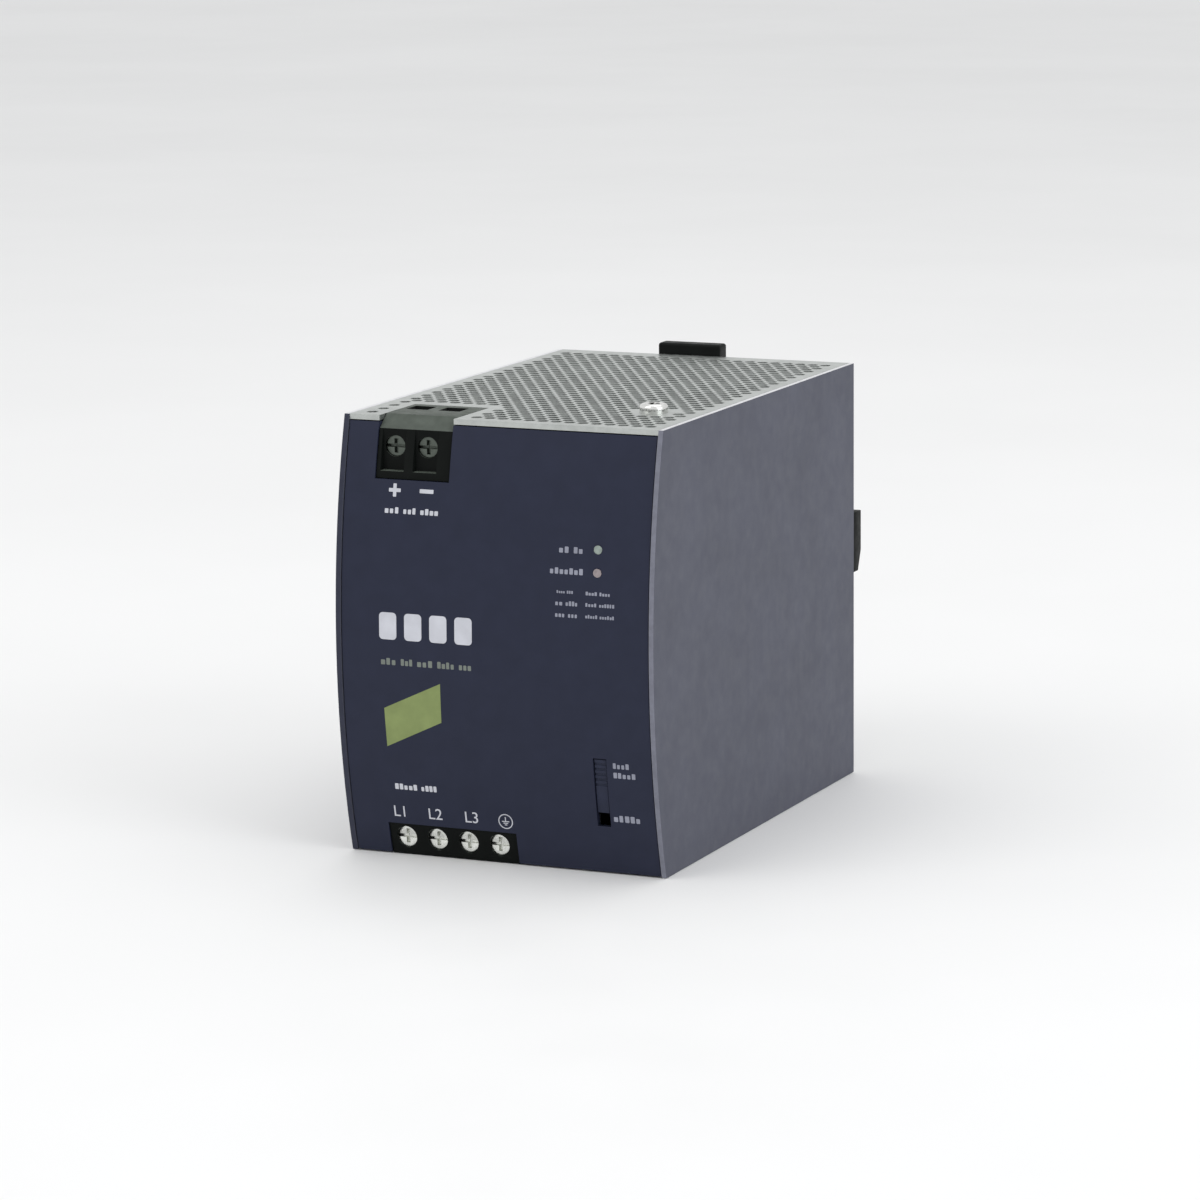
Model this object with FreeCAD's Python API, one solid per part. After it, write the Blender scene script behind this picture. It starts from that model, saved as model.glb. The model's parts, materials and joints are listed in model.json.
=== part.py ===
"""DIN rail power supply: a 96 mm wide, 124 mm high mains-to-DC unit with a bowed front.

Working frame, in millimetres: X across the unit from its middle, Y from the front corners of
the side panels towards the rail, Z up from the base. Every solid is moved at export so that
the origin lies in the middle of the base of the whole unit's box.
"""
import FreeCAD, Part
import math
import os

V = FreeCAD.Vector
X_AXIS, Y_AXIS, Z_AXIS = V(1, 0, 0), V(0, 1, 0), V(0, 0, 1)

# --- driving dimensions: housing --------------------------------------------------------
width = 96.0
height = 124.0
depth = 145.0            # front corners to the outer face of the rear wall
bow = 8.0                # how far the front stands out at mid height
side_sheet = 1.5
cover_sheet = 1.5
panel_sheet = 1.8
panel_inset = 0.4        # the front panel lies this far behind the side panels' edges
panel_gap = 0.3
cover_front_y = 0.2      # front edge of the top cover
base_front_y = 2.6       # front edge of the bottom cover, behind the front panel

# --- driving dimensions: rail -----------------------------------------------------------
rail_height = 35.0       # 35 mm top-hat rail
rail_centre_z = 62.5
rail_gap = 6.0           # rear wall to the front plane of the rail
flange_room = 1.4        # slot for the rail's flange, 1.0 to 1.3 mm thick
lip_sheet = 2.6

# --- driving dimensions: release slider -------------------------------------------------
slider_centre_x = -5.1
slider_width = 20.0
slider_sheet = 3.2
slider_top = 127.4
release_travel = 4.0

# --- driving dimensions: terminals ------------------------------------------------------
output = {
    "names": ["plus", "minus"], "centre_x": -27.45, "pitch": 9.9, "axis_z": 115.7,
    "block": (-37.1, -14.8), "entry": 1, "head_r": 3.2, "access_r": 3.0, "shank_r": 1.8,
    "cage_half": 3.5, "cage_wall": 0.9, "cage_tall": 8.0, "cage_front": 10.2,
    "front_wall": 2.5, "bar_y": 13.0, "bar_sheet": 1.4, "bar_half": 2.4, "wire_gap": 4.9,
    "rear_wall": 1.4, "pocket_y": 6.2, "bend_z": 108.6, "back_y": 22.8,
}
mains = {
    "names": ["l1", "l2", "l3", "earth"], "centre_x": -16.4, "pitch": 9.5, "axis_z": 5.3,
    "block": (-35.6, 3.4), "entry": -1, "head_r": 3.3, "access_r": 3.05, "shank_r": 1.75,
    "cage_half": 3.8, "cage_wall": 0.95, "cage_tall": 7.6, "cage_front": 9.8,
    "front_wall": 2.3, "bar_y": 12.4, "bar_sheet": 1.2, "bar_half": 2.6, "wire_gap": 4.4,
    "rear_wall": 1.2, "pocket_y": 6.0, "bend_z": 12.1, "back_y": 21.0,
}
output_block_z = (107.0, height)
mains_face_top = 9.0     # top of the part of the mains block that shows in the front
mains_block_top = 16.5
output_recess = {"half": 3.6, "back_y": 0.0, "z": (109.0, 120.3)}   # round each output screw
output_chamfer = {"low_z": 120.5, "back_y": 4.4}                    # top front edge
head_y = 0.5             # front of the terminal screws' heads
head_thick = 2.7
pin_fit = 0.05           # radial clearance of a screw in its hole
slide_fit = 0.3          # clearance round a clamp in its pocket

# --- driving dimensions: front controls -------------------------------------------------
light_x = 31.0
light_z = {"ok": 91.3, "overload": 85.0}
light_r = 1.2
selector_x = 30.8
selector_slot_z = (13.8, 33.4)
selector_half = 2.0
selector_travel = 3.6

# --- driving dimensions: boards ---------------------------------------------------------
board_sheet = 1.6
front_board_y = 25.6
main_board_x = -44.0     # back of the main board
board_y = (32.0, 139.0)
board_z = (9.0, 119.0)
standoff_spots = [(y, z) for y in (36.5, 106.0, 136.0) for z in (14.0, 112.5)]

# --- worked out -------------------------------------------------------------------------
half_width = width / 2
inner_x = half_width - side_sheet
bow_radius = (height ** 2 / 4 + bow ** 2) / (2 * bow)
bow_centre_y = bow_radius - bow
rail_y = depth + rail_gap
rear_most_y = rail_y + flange_room + lip_sheet
origin_y = (rear_most_y - bow) / 2
board_face_x = main_board_x + board_sheet
rail_low_z = rail_centre_z - rail_height / 2
rail_high_z = rail_centre_z + rail_height / 2


# --- helpers ----------------------------------------------------------------------------
def box(x0, x1, y0, y1, z0, z1):
    return Part.makeBox(x1 - x0, y1 - y0, z1 - z0, V(x0, y0, z0))


def rod(x, y, z, radius, length, axis):
    """A cylinder from the point, along the axis."""
    return Part.makeCylinder(radius, length, V(x, y, z), axis)


def tube(x, y, z, outer, inner, length, axis):
    return rod(x, y, z, outer, length, axis).cut(rod(x, y, z, inner, length, axis))


def join(shapes):
    return shapes[0].multiFuse(shapes[1:]).removeSplitter()


def bowed(inset, x0, x1):
    """Everything behind the bowed front, inset by the given depth."""
    return rod(x0, bow_centre_y, height / 2, bow_radius - inset, x1 - x0, X_AXIS)


def bowed_y(z, inset=0.0):
    """Y of the bowed front at height z."""
    return bow_centre_y - math.sqrt((bow_radius - inset) ** 2 - (z - height / 2) ** 2)


def pole_xs(block):
    count = len(block["names"])
    first = block["centre_x"] - block["pitch"] * (count - 1) / 2
    return [first + block["pitch"] * i for i in range(count)]


def pan_screw(x, y, z, head_r, head_h, shank_r, shank_l, axis):
    """Pan-head screw: seat at the point, shank along the axis, head the other way."""
    back = axis * -1
    head = rod(x, y, z, head_r, head_h, back)
    rim = [e for e in head.Edges if abs(e.CenterOfMass.sub(V(x, y, z)).dot(back) - head_h) < 1e-6]
    head = head.makeFillet(head_h * 0.45, rim)
    top = V(x, y, z) + back * (head_h - head_h * 0.55)
    across = [X_AXIS, Y_AXIS] if abs(axis.z) > 0.5 else [X_AXIS, Z_AXIS]
    if abs(axis.x) > 0.5:
        across = [Y_AXIS, Z_AXIS]
    recess = []
    for long_way, short_way in (across, across[::-1]):
        arm = Part.makeBox(head_r * 1.15, head_r * 0.26, head_h)
        arm.translate(V(-head_r * 0.575, -head_r * 0.13, 0))
        placing = FreeCAD.Placement(top, FreeCAD.Rotation(long_way, short_way, back, "ZXY"))
        arm.Placement = placing.multiply(arm.Placement)
        recess.append(arm)
    shank = rod(x, y, z, shank_r, shank_l, axis)
    return head.cut(recess[0]).cut(recess[1]).fuse(shank).removeSplitter()


def honeycomb(x0, x1, y0, y1, across, pitch, keep_out):
    """Hexagon wires in a staggered grid, missing where keep_out(x, y) is true."""
    rows = int((y1 - y0) / (pitch * math.sqrt(3) / 2))
    columns = int((x1 - x0) / pitch)
    wires = []
    for row in range(rows + 1):
        y = y0 + row * pitch * math.sqrt(3) / 2
        for column in range(columns + 1 - row % 2):
            x = x0 + column * pitch + (row % 2) * pitch / 2
            if keep_out(x, y):
                continue
            corner = across / math.sqrt(3)
            points = [V(x + corner * math.sin(math.pi / 3 * k), y + corner * math.cos(math.pi / 3 * k), 0)
                      for k in range(6)]
            wires.append(Part.makePolygon(points + points[:1]))
    return wires


# --- housing ----------------------------------------------------------------------------
lug_spot = (32.2, 30.5)                     # cover screw
lug_half = (5.2, 6.5)
lug_sheet = 2.0
rear_lug_x, rear_lug_z = 40.5, (26.0, 98.0)
standoff_r = 3.0


def side_panel(side):
    """A flat side with the bowed front edge, and the lugs that the covers are screwed to."""
    x0, x1 = sorted((side * inner_x, side * half_width))
    panel = box(x0, x1, -bow - 1, depth, 0, height).common(bowed(0, x0, x1))
    lugs = []
    for z in rear_lug_z:
        a, b = sorted((side * inner_x, side * (rear_lug_x - 4)))
        lugs.append(box(a, b, depth - cover_sheet - lug_sheet, depth - cover_sheet, z - 5, z + 5))
    if side > 0:
        for z in (cover_sheet, height - cover_sheet - lug_sheet):
            lugs.append(box(lug_spot[0] - lug_half[0], inner_x, lug_spot[1] - lug_half[1],
                            lug_spot[1] + lug_half[1], z, z + lug_sheet))
    panel = join([panel] + lugs)
    for z in rear_lug_z:
        panel = panel.cut(rod(side * rear_lug_x, depth, z, 1.55, 9, Y_AXIS * -1))
    if side > 0:
        panel = panel.cut(rod(lug_spot[0], lug_spot[1], 1, 2.0, height - 2, Z_AXIS))
        panel = panel.cut(countersink())
    return panel


def countersink(clearance=0.0):
    """The sunk head of the bottom cover screw."""
    return Part.makeCone(4.0 + clearance, 2.0 + clearance, 2.2, V(*lug_spot, 0), Z_AXIS)


def front_panel():
    """The bowed front, notched for both terminal blocks, with rails behind its edges."""
    x1 = inner_x - panel_gap
    shell = bowed(panel_inset, -x1, x1).cut(bowed(panel_inset + panel_sheet, -x1, x1))
    panel = shell.common(box(-x1, x1, -bow - 1, 12, panel_gap, height - cover_sheet - panel_gap))
    for side in (-1, 1):
        a, b = sorted((side * x1, side * (x1 - 1.4)))
        edge = box(a, b, -bow, 9, 12, 104).common(bowed(panel_inset + 0.5, a, b))
        panel = panel.fuse(edge)
    panel = panel.removeSplitter()
    notches = [
        box(output["block"][0] - 0.2, output["block"][1] + 0.2, -bow - 1, 12,
            output_block_z[0] - 0.2, height),
        box(mains["block"][0] - 0.2, mains["block"][1] + 0.2, -bow - 1, 12, 0, mains_face_top + 0.2),
        box(selector_x - selector_half, selector_x + selector_half, -bow - 1, 4,
            *selector_slot_z),
    ]
    for z in light_z.values():
        notches.append(rod(light_x, -bow - 1, z, light_r + pin_fit, 12, Y_AXIS))
    for notch in notches:
        panel = panel.cut(notch)
    return panel


def cover(z0, block, screw_hole_r, flange_z, front):
    """A perforated cover with two side flanges, notched round a terminal block."""
    low_x, high_x = block["block"][0] - 0.2, block["block"][1] + 0.2
    notch_y = block["back_y"] + 0.3
    outline = [V(-inner_x, front, 0), V(low_x, front, 0), V(low_x, notch_y, 0), V(high_x, notch_y, 0),
               V(high_x, front, 0), V(inner_x, front, 0), V(inner_x, depth, 0), V(-inner_x, depth, 0)]

    def keep_out(x, y):
        near_block = low_x - 3.5 < x < high_x + 3.5 and y < notch_y + 3.5
        near_screw = math.hypot(x - lug_spot[0], y - lug_spot[1]) < 7.5
        return near_block or near_screw

    holes = honeycomb(-42, 42, front + 5.2, depth - 6, 3.0, 4.0, keep_out)
    face = Part.Face([Part.makePolygon(outline + outline[:1])] + holes)
    plate = face.extrude(V(0, 0, cover_sheet))
    plate.translate(V(0, 0, z0))
    flanges = [box(*sorted((side * inner_x, side * (inner_x - 1.2))), 40, 132, *flange_z)
               for side in (-1, 1)]
    plate = join([plate] + flanges)
    return plate.cut(rod(lug_spot[0], lug_spot[1], z0 - 1, screw_hole_r, cover_sheet + 2, Z_AXIS))


def top_grille():
    z0 = height - cover_sheet
    return cover(z0, output, 2.2, (z0 - 5, z0), cover_front_y)


def bottom_grille():
    flange_z = (cover_sheet, cover_sheet + 5)
    return cover(0, mains, 2.2, flange_z, base_front_y).cut(countersink(0.02))


def rear_wall():
    wall = box(-inner_x, inner_x, depth - cover_sheet, depth, cover_sheet, height - cover_sheet)
    for side in (-1, 1):
        for z in rear_lug_z:
            wall = wall.cut(rod(side * rear_lug_x, depth + 1, z, 1.7, 4, Y_AXIS * -1))
    for x, z in bracket_screw_spots + guide_screw_spots:
        wall = wall.cut(rod(x, depth + 1, z, 1.55, 4, Y_AXIS * -1))
    return wall


def cover_screws():
    top = pan_screw(lug_spot[0], lug_spot[1], height, 4.0, 2.6, 1.95, 7.5, Z_AXIS * -1)
    sunk = countersink().fuse(rod(lug_spot[0], lug_spot[1], 2.2, 1.95, 5, Z_AXIS)).removeSplitter()
    for turn in (0, 90):
        slot = box(-2.3, 2.3, -0.5, 0.5, -1, 1.2)
        slot.rotate(V(0, 0, 0), Z_AXIS, turn)
        slot.translate(V(*lug_spot, 0))
        sunk = sunk.cut(slot)
    return Part.makeCompound([top, sunk])


def rear_screws():
    """The screws of the rear wall, and the two of the slider guide."""
    screws = []
    for side in (-1, 1):
        for z in rear_lug_z:
            screws.append(pan_screw(side * rear_lug_x, depth, z, 3.0, 2.0, 1.5, 6, Y_AXIS * -1))
    for x, z in guide_screw_spots:
        screws.append(pan_screw(x, depth + guide_sheet, z, 3.0, 2.0, 1.5, 8, Y_AXIS * -1))
    return Part.makeCompound(screws)


# --- rail bracket, release slider and its spring ----------------------------------------
bracket_band = (61.0, 79.0)                 # the full-width band behind the rail's top
pad_half_x = 36.0
pad_low_z = rail_low_z
slider_play = 0.35
slider_y = depth + 0.4
channel_back_y = slider_y + slider_sheet + slider_play
hook_x = (27.0, 39.0)
window_half = 3.2
window_z = (79.0, 98.0)
spring_low_z = 84.0
spring_r = 1.7
spring_wire_r = 0.35
guide_z = (103.0, 112.0)
guide_half_x = 19.0
guide_sheet = 2.2
bracket_screw_spots = [(x, z) for x in (-24.0, 20.0) for z in (52.0, 70.0)]
guide_screw_spots = [(slider_centre_x + side * 15.3, 107.5) for side in (-1, 1)]


def rail_bracket():
    """The band that carries the rail's top flange, with two hooks, and the pad below it."""
    band = box(-half_width, half_width, depth, rail_y, *bracket_band)
    wedge = Part.Face(Part.makePolygon([V(-half_width, rail_y + 1, bracket_band[0] - 1),
                                        V(-half_width, rail_y - 2.8, bracket_band[0] - 1),
                                        V(-half_width, rail_y, bracket_band[0] + 6),
                                        V(-half_width, rail_y + 1, bracket_band[0] + 6),
                                        V(-half_width, rail_y + 1, bracket_band[0] - 1)]))
    band = band.cut(wedge.extrude(V(width, 0, 0)))
    pieces = [band, box(-pad_half_x, pad_half_x, depth, rail_y, pad_low_z, bracket_band[1])]
    for side in (-1, 1):
        a, b = sorted((side * hook_x[0], side * hook_x[1]))
        arm_z = rail_high_z + 0.3
        pieces.append(box(a, b, depth, rail_y, bracket_band[1] - 1, arm_z + 4))
        pieces.append(box(a, b, rail_y - 1, rear_most_y, arm_z, arm_z + 4))
        pieces.append(box(a, b, rail_y + flange_room, rear_most_y, rail_high_z - 3.2, arm_z + 1))
    body = join(pieces)
    body = body.cut(box(slider_centre_x - slider_width / 2 - slider_play,
                        slider_centre_x + slider_width / 2 + slider_play,
                        depth - 1, channel_back_y, 0, height))
    tongue = [box(slider_centre_x - 2, slider_centre_x + 2, slider_y, rail_y,
                  window_z[0] + 1, spring_low_z),
              box(slider_centre_x - 2, slider_centre_x + 2, channel_back_y, rail_y,
                  bracket_band[1] - 3, spring_low_z)]
    body = join([body] + tongue)
    for x, z in bracket_screw_spots:
        body = body.cut(rod(x, rail_y, z, 3.2, 3.0, Y_AXIS * -1))
        body = body.cut(rod(x, rail_y, z, 1.7, rail_gap + 1, Y_AXIS * -1))
    return body


def bracket_screws():
    return Part.makeCompound([pan_screw(x, rail_y - 3.0, z, 3.0, 2.0, 1.5, 8, Y_AXIS * -1)
                              for x, z in bracket_screw_spots])


def release_slider():
    """The flat bar pressed down from above, with the foot that grips the rail's lower flange."""
    x0, x1 = slider_centre_x - slider_width / 2, slider_centre_x + slider_width / 2
    foot_top, foot_low = rail_low_z - 0.5, rail_low_z - 7.0
    bar = box(x0, x1, slider_y, slider_y + slider_sheet, foot_low, slider_top)
    tab = box(x0, x1, slider_y, rail_y - 0.3, 118.5, slider_top)
    tab = tab.makeFillet(0.8, [e for e in tab.Edges if abs(e.CenterOfMass.z - slider_top) < 1e-6])
    foot = box(x0, x1, slider_y, rear_most_y, foot_low, foot_top)
    lip = box(x0, x1, rail_y + flange_room, rear_most_y, foot_low, rail_low_z + 3.0)
    ramp = Part.Face(Part.makePolygon([V(x0, rear_most_y + 1, rail_low_z + 3.5), V(x0, rear_most_y + 1, 40),
                                       V(x0, rear_most_y, 40.5), V(x0, rear_most_y - 1.8, rail_low_z + 3.5),
                                       V(x0, rear_most_y + 1, rail_low_z + 3.5)]))
    lip = lip.cut(ramp.extrude(V(slider_width, 0, 0)))
    whole = join([bar.cut(box(x0 - 1, x1 + 1, 0, 400, 119, height * 2)), tab,
                  foot.cut(ramp.extrude(V(slider_width, 0, 0))), lip])
    return whole.cut(box(slider_centre_x - window_half, slider_centre_x + window_half,
                         depth - 1, rail_y + 1, *window_z))


def release_spring():
    """Compression spring between the bracket's tongue and the top of the slider's window."""
    length = window_z[1] - spring_low_z
    centre_y = slider_y + spring_r + spring_wire_r + 0.05
    run = length - 2 * spring_wire_r - 0.02
    helix = Part.makeHelix(run / 6, run, spring_r)
    start = Part.Wire(Part.makeCircle(spring_wire_r, V(spring_r, 0, 0), Y_AXIS))
    coil = Part.Wire(helix).makePipeShell([start], True, True)
    coil.translate(V(slider_centre_x, centre_y, spring_low_z + spring_wire_r + 0.01))
    return coil


def slider_guide():
    """The bridge that holds the slider's upper end against the rear wall."""
    x0, x1 = slider_centre_x - guide_half_x, slider_centre_x + guide_half_x
    bridge_half = slider_width / 2 + slider_play + 1.2
    plate = box(x0, x1, depth, depth + guide_sheet, *guide_z)
    bridge = box(slider_centre_x - bridge_half, slider_centre_x + bridge_half,
                 depth, channel_back_y + 1.2, *guide_z)
    body = join([plate, bridge])
    body = body.cut(box(slider_centre_x - slider_width / 2 - slider_play,
                        slider_centre_x + slider_width / 2 + slider_play,
                        depth - 1, channel_back_y, 0, height))
    for x, z in guide_screw_spots:
        body = body.cut(rod(x, depth - 1, z, 1.6, 5, Y_AXIS))
    return body


# --- terminals --------------------------------------------------------------------------
def funnel(block, x, z_in, z_out):
    """The tapered wire entry between the pocket and the outside."""
    y0 = block["bar_y"] + block["bar_sheet"]
    y1 = y0 + block["wire_gap"]
    half = block["cage_half"] - block["cage_wall"]
    wires = []
    for z, grow in ((z_in, 0.0), (z_out, 0.7)):
        a, b, c, d = x - half - grow, x + half + grow, y0 - grow, y1 + grow
        points = [V(a, c, z), V(b, c, z), V(b, d, z), V(a, d, z)]
        wires.append(Part.makePolygon(points + points[:1]))
    return Part.makeLoft(wires, True)


def terminal_pocket(block, x):
    """Everything hollow in a terminal block round one pole."""
    z, half = block["axis_z"], block["cage_half"] + slide_fit
    low, high = z - block["cage_tall"] / 2 - 0.4, z + block["cage_tall"] / 2 + 0.4
    rear = block["bar_y"] + block["bar_sheet"] + block["wire_gap"] + block["rear_wall"] + 0.5
    bar_half = block["bar_half"] + 0.1
    y0, y1 = block["bar_y"] - 0.1, block["bar_y"] + block["bar_sheet"] + 0.1
    b0, b1 = block["bend_z"] - 0.1, block["bend_z"] + block["bar_sheet"] + 0.1
    hollow = [
        rod(x, -bow - 1, z, block["access_r"], 20, Y_AXIS).common(box(-60, 60, -20, head_y, -20, 200)),
        rod(x, head_y - 0.2, z, block["head_r"] + 0.1, head_thick + 0.4, Y_AXIS),
        rod(x, 0, z, block["shank_r"] + pin_fit, block["pocket_y"] + 1, Y_AXIS),
        box(x - half, x + half, block["pocket_y"], rear, low, high),
        box(x - bar_half, x + bar_half, y0, y1, min(b0, z), max(b1, z)),
        box(x - bar_half, x + bar_half, y0, block["back_y"] + 1, b0, b1),
    ]
    if block["entry"] > 0:
        hollow.append(funnel(block, x, high - 0.01, height + 0.01))
    else:
        hollow.append(funnel(block, x, low + 0.01, -0.01))
    return hollow


def output_terminal_housing():
    """A block with a chamfered top edge, and a recess round each screw."""
    x0, x1 = output["block"]
    body = box(x0, x1, -bow, output["back_y"], *output_block_z).common(bowed(0.8, x0, x1))
    low, back = output_chamfer["low_z"], output_chamfer["back_y"]
    corner = [V(x0, -bow, low), V(x0, 0, low), V(x0, back, height), V(x0, back, height + 1),
              V(x0, -bow, height + 1)]
    body = body.cut(Part.Face(Part.makePolygon(corner + corner[:1])).extrude(V(x1 - x0, 0, 0)))
    half, recess_y = output_recess["half"], output_recess["back_y"]
    for x in pole_xs(output):
        body = body.cut(box(x - half, x + half, -bow, recess_y, *output_recess["z"]))
        for hollow in terminal_pocket(output, x):
            body = body.cut(hollow)
    return body


def mains_terminal_housing():
    x0, x1 = mains["block"]
    face = box(x0, x1, -bow, mains["back_y"], 0, mains_face_top).common(bowed(0.8, x0, x1))
    upper = box(x0, x1, -bow, mains["back_y"], 0, mains_block_top)
    upper = upper.common(bowed(panel_inset + panel_sheet + 0.4, x0, x1))
    body = join([face, upper])
    for x in pole_xs(mains):
        for hollow in terminal_pocket(mains, x):
            body = body.cut(hollow)
    return body


def terminal_screw(block, x):
    """Clamp screw: a thick head with a slot and a cross, and a shank that ends at the bar."""
    z = block["axis_z"]
    head = rod(x, head_y, z, block["head_r"], head_thick, Y_AXIS)
    rim = [e for e in head.Edges if abs(e.CenterOfMass.y - head_y) < 1e-6]
    head = head.makeFillet(0.5, rim)
    reach = block["bar_y"] - 0.2 - head_y
    whole = head.fuse(rod(x, head_y + 0.5, z, block["shank_r"], reach - 0.5, Y_AXIS)).removeSplitter()
    across = block["head_r"] + 1
    slot = box(x - across, x + across, head_y - 1, head_y + 1.3, z - 0.45, z + 0.45)
    cross = box(x - 0.55, x + 0.55, head_y - 1, head_y + 1.6, z - 2.0, z + 2.0)
    return whole.cut(slot).cut(cross)


def terminal_clamp(block, x):
    """Cage that the screw draws forward, so that its rear wall presses the wire on the bar."""
    z, half, tall = block["axis_z"], block["cage_half"], block["cage_tall"] / 2
    y0 = block["cage_front"]
    inner_front = y0 + block["front_wall"]
    inner_back = block["bar_y"] + block["bar_sheet"] + block["wire_gap"]
    cage = box(x - half, x + half, y0, inner_back + block["rear_wall"], z - tall, z + tall)
    inner = half - block["cage_wall"]
    cage = cage.cut(box(x - inner, x + inner, inner_front, inner_back, z - tall - 1, z + tall + 1))
    return cage.cut(rod(x, y0 - 1, z, block["shank_r"] + pin_fit, block["front_wall"] + 2, Y_AXIS))


def contact_bars(block):
    """One bent bar per pole, from inside the clamp to the front board."""
    bars = []
    z, tall = block["axis_z"], block["cage_tall"] / 2
    b0, b1 = block["bend_z"], block["bend_z"] + block["bar_sheet"]
    leg = (b0, z + tall - 1) if block["entry"] > 0 else (z - tall + 1, b1)
    for x in pole_xs(block):
        a, b = x - block["bar_half"], x + block["bar_half"]
        upright = box(a, b, block["bar_y"], block["bar_y"] + block["bar_sheet"], *leg)
        run = box(a, b, block["bar_y"], front_board_y, b0, b1)
        bars.append(join([upright, run]))
    return Part.makeCompound(bars)


# --- front board, indicators and selector -----------------------------------------------
front_board_x = (-41.0, 44.0)
front_board_z = (10.0, 120.0)
led_high = 1.2


def front_board():
    return box(*front_board_x, front_board_y, front_board_y + board_sheet, *front_board_z)


def light_pipe(z):
    face_y = bowed_y(z, panel_inset) - 0.15
    back_y = front_board_y - led_high
    pipe = rod(light_x, face_y, z, light_r, back_y - face_y, Y_AXIS)
    collar = rod(light_x, bowed_y(z, panel_inset + panel_sheet) + 0.6, z, 2.0, 1.2, Y_AXIS)
    return join([pipe, collar])


def indicator_leds():
    return Part.makeCompound([box(light_x - 1.4, light_x + 1.4, front_board_y - led_high, front_board_y,
                                  z - 1.0, z + 1.0) for z in light_z.values()])


def selector_body():
    """The housing of the selector, on the front board behind its slot."""
    low, high = selector_slot_z
    body = box(selector_x - 4.5, selector_x + 4.5, 5, front_board_y, low - 2.5, high + 2.5)
    return body.cut(box(selector_x - selector_half, selector_x + selector_half, 4, 13, low, high))


def selector_knob():
    """The shutter-shaped knob: at its upper end it leaves a small opening below it."""
    low, high = selector_slot_z
    x0, x1 = selector_x - selector_half + 0.25, selector_x + selector_half - 0.25
    knob = box(x0, x1, -bow, 12.6, low + 0.3 + selector_travel, high - 0.3)
    knob = knob.common(bowed(panel_inset + 0.35, x0, x1))
    for k in range(5):
        z = (low + high) / 2 + 5.2 + (k - 2) * 1.5
        groove_y = bowed_y(z, panel_inset + 0.35) + 0.3
        knob = knob.cut(box(x0 - 1, x1 + 1, -bow - 1, groove_y, z - 0.3, z + 0.3))
    return knob


# --- main board and what stands on it ---------------------------------------------------
def main_board():
    board = box(main_board_x, board_face_x, *board_y, *board_z)
    for y, z in standoff_spots:
        board = board.cut(rod(main_board_x - 1, y, z, 1.6, 4, X_AXIS))
    return board


def board_standoffs():
    return Part.makeCompound([tube(-inner_x, y, z, standoff_r, 1.55, main_board_x + inner_x, X_AXIS)
                              for y, z in standoff_spots])


def board_screws():
    return Part.makeCompound([pan_screw(board_face_x, y, z, 2.8, 1.9, 1.5, 3.6, X_AXIS * -1)
                              for y, z in standoff_spots])


def insulation_sheet():
    sheet = box(-inner_x, -inner_x + 0.4, board_y[0] - 2, board_y[1] + 2, 10, 116)
    for y, z in standoff_spots:
        sheet = sheet.cut(rod(-inner_x - 1, y, z, standoff_r + 0.3, 3, X_AXIS))
    return sheet


def board_header():
    return box(board_face_x, -34.0, front_board_y + board_sheet, 36.0, 44.0, 52.0)


def earth_strap():
    """From the front board's earth pole down to the bottom cover."""
    y0 = front_board_y + board_sheet
    x = pole_xs(mains)[-1]
    upright = box(x - 3, x + 3, y0, y0 + 1, cover_sheet, 22)
    foot = box(x - 3, x + 3, y0, y0 + 10, cover_sheet, cover_sheet + 1)
    return join([upright, foot])


def input_fuses():
    """Three cartridge fuses in their clips."""
    return Part.makeCompound([fuse_at(40.0, z) for z in (93.8, 100.0, 106.2)])


def fuse_at(y, z):
    centre_x, long, cap = board_face_x + 4.2, 20.0, 4.5
    barrel = rod(centre_x, y, z, 2.4, long, Y_AXIS)
    caps = [rod(centre_x, y0, z, 2.6, cap, Y_AXIS) for y0 in (y, y + long - cap)]
    clips = [box(board_face_x, centre_x, y0 + 0.5, y0 + cap - 0.5, z - 1.2, z + 1.2)
             for y0 in (y, y + long - cap)]
    return join([barrel] + caps + clips)


def disc_on_leads(y, z, radius, thick, lift):
    """A round component standing on two wire leads."""
    centre_x = board_face_x + lift + radius
    disc = rod(centre_x, y, z, radius, thick, Y_AXIS)
    disc = disc.makeFillet(thick * 0.3, [e for e in disc.Edges if e.Closed])
    leads = [rod(board_face_x, y + thick / 2, z + dz, 0.4, lift + radius, X_AXIS) for dz in (-3.5, 3.5)]
    return join([disc] + leads)


def varistors():
    return Part.makeCompound([disc_on_leads(y, 82.0, 6.5, 4.0, 2.0) for y in (77.0, 83.5, 90.0)])


def inrush_relay():
    case = box(board_face_x, board_face_x + 16, 77, 93, 94, 108)
    return case.makeFillet(0.8, [e for e in case.Edges if abs(e.CenterOfMass.x - board_face_x) > 1])


def ring_core(y, z, outer, inner, x0, thick):
    core = tube(x0, y, z, outer, inner, thick, X_AXIS)
    return core.makeFillet(0.8, [e for e in core.Edges if e.Closed])


def ridged_ring(radius, bump, start, end, count):
    """Points of an arc with one rounded ridge per turn of wire."""
    points = []
    steps = 6
    for i in range(count * steps + 1):
        angle = start + (end - start) * i / (count * steps)
        lift = bump * abs(math.sin(math.pi * i / steps))
        points.append(V((radius + lift) * math.cos(angle), (radius + lift) * math.sin(angle), 0))
    return points


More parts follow.
